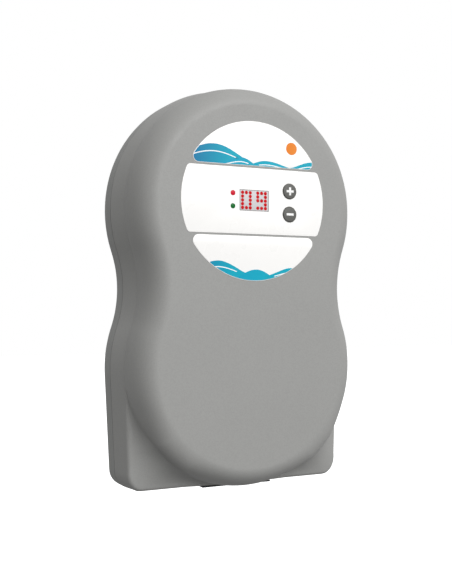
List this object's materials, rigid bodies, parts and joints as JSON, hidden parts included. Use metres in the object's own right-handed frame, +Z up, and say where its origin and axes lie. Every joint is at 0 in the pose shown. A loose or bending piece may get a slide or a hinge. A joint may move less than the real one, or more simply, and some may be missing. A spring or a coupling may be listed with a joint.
{
  "type": "salt chlorine generator",
  "caption": "Wall-hung salt chlorine generator control box: figure-eight grey cover on a shallow back shell, round inlaid panel with digit display, lamps and two round keys.",
  "frame": {"origin": "centre of the wall bracket screw pattern, on the wall plane", "axes": "+Z up, the front panel faces -Y, +X to the right seen from the front"},
  "size_m": [0.1894, 0.0632, 0.3006],
  "materials": {
    "case_grey": "satin moulded",
    "gasket_rubber": "matt",
    "dark_plastic": "fine texture",
    "zinc_steel": "zinc plated",
    "board_green": "solder mask",
    "winding_film": "varnished tape",
    "lead_insulation": "wire insulation",
    "plug_ivory": "moulded",
    "heatsink_aluminium": "extruded",
    "relay_blue": "moulded",
    "capacitor_sleeve": "shrink sleeve",
    "terminal_green": "moulded",
    "fuse_tube": "clear",
    "panel_white": "satin film",
    "window_grey": "satin",
    "dot_red": "lit",
    "module_grey": "moulded",
    "lamp_red": "tinted lens",
    "lamp_green": "tinted lens",
    "plunger_grey": "moulded",
    "ribbon_grey": "ribbed",
    "key_grey": "satin",
    "sign_white": "printed"
  },
  "bodies": {
    "housing": {"wall_bracket": "zinc_steel", "rear_housing": "case_grey", "seam_gasket": "gasket_rubber", "entry_plate": "dark_plastic", "mains_grommet": "gasket_rubber", "cell_grommet": "gasket_rubber", "sensor_grommet": "gasket_rubber", "case_screws": "zinc_steel", "main_board": "board_green", "board_screws": "zinc_steel", "transformer": "winding_film", "transformer_pads": "gasket_rubber", "transformer_washer": "zinc_steel", "transformer_bolt": "zinc_steel", "transformer_leads": "lead_insulation", "transformer_plug": "plug_ivory", "rectifier": "dark_plastic", "heatsink": "heatsink_aluminium", "relays": "relay_blue", "capacitors": "capacitor_sleeve", "mains_terminals": "terminal_green", "cell_terminals": "terminal_green", "terminal_screws": "zinc_steel", "fuse_clips": "zinc_steel", "fuse_glass": "fuse_tube", "fuse_caps": "zinc_steel", "microcontroller": "dark_plastic", "ribbon_header": "dark_plastic"},
    "cover": {"front_cover": "case_grey", "upper_badge": "panel_white", "control_strip": "panel_white", "lower_badge": "panel_white", "display_window": "window_grey", "display_dots": "dot_red", "display_module": "module_grey", "red_lamp": "lamp_red", "green_lamp": "lamp_green", "display_board": "board_green", "display_screws": "zinc_steel", "key_switches": "dark_plastic", "switch_plungers": "plunger_grey", "display_connector": "dark_plastic", "ribbon_cable": "ribbon_grey", "ribbon_plug": "dark_plastic"},
    "plus": {"plus_key": "key_grey", "plus_sign": "sign_white"},
    "minus": {"minus_key": "key_grey", "minus_sign": "sign_white"}
  },
  "joints": [
    {"name": "cover_lift", "type": "slide", "parent": "housing", "child": "cover", "axis": [0, -1, 0], "range_m": [0, 0.15]},
    {"name": "plus_press", "type": "slide", "parent": "cover", "child": "plus", "axis": [0, 1, 0], "range_m": [0, 0.0007], "stiffness_N_per_m": 1200, "springref_m": -0.0006},
    {"name": "minus_press", "type": "slide", "parent": "cover", "child": "minus", "axis": [0, 1, 0], "range_m": [0, 0.0007], "stiffness_N_per_m": 1200, "springref_m": -0.0006}
  ]
}
